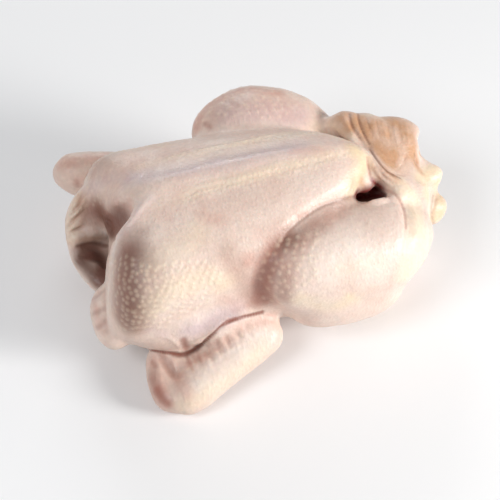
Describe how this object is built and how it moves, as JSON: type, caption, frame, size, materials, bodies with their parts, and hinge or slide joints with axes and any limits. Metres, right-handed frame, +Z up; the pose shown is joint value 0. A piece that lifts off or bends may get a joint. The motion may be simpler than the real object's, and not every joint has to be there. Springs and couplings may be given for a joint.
{
  "type": "whole raw chicken",
  "caption": "Raw whole chicken, plucked and dressed, lying on its back with the legs tucked at the tail; a food item for kitchen and butcher scenes.",
  "frame": {"origin": "middle of the box that bounds the bird, on the level surface it lies on", "axes": "+X towards the tail end, -X towards the neck end, +Z up through the breast; -Y is the bird's own right side"},
  "size_m": [0.2294, 0.1912, 0.1086],
  "materials": {
    "raw_skin": "moist raw poultry skin, satin with soft highlights"
  },
  "bodies": {
    "root": {"chicken": "raw_skin"}
  },
  "joints": []
}
